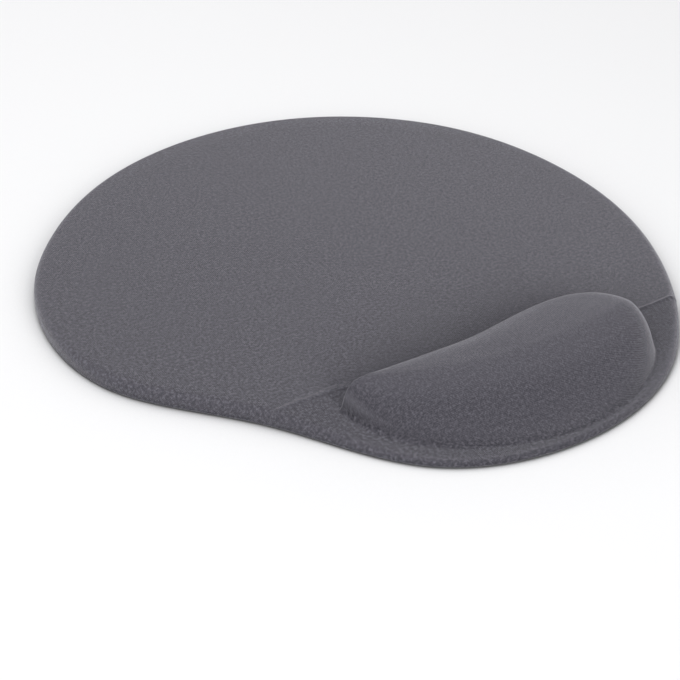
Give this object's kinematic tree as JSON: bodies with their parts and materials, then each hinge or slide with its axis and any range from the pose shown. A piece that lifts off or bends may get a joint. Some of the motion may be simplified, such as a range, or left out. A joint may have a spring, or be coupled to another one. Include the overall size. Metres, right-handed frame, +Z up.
{
  "type": "mouse pad with gel wrist rest",
  "caption": "Thin knit-covered desk mat with a sloping heel and a raised bean-shaped gel cushion that supports the wrist beside the mouse.",
  "frame": {"origin": "on the desk, under the middle of the pad's width and length", "axes": "+Z up, +Y away from the user along the pad's length, +X to the user's right"},
  "size_m": [0.22, 0.25, 0.0187],
  "materials": {
    "grip_base": "matt black non-slip sheet with a fine moulded grip",
    "bond": "thin set layer of contact adhesive",
    "foam": "fine closed-cell foam",
    "pouch_film": "clear flexible film, welded at the rim",
    "gel": "soft clear gel",
    "backing_film": "thin elastic film fused to the back of the cloth",
    "knit": "fine stretch knit, slightly violet mid grey, soft sheen at grazing angles"
  },
  "bodies": {
    "root": {"base_sheet": "grip_base", "base_bond": "bond", "mat_core": "foam", "gel_lower_film": "pouch_film", "gel_fill": "gel", "gel_upper_film": "pouch_film", "cover_backing_film": "backing_film", "cover_cloth": "knit"}
  },
  "joints": []
}
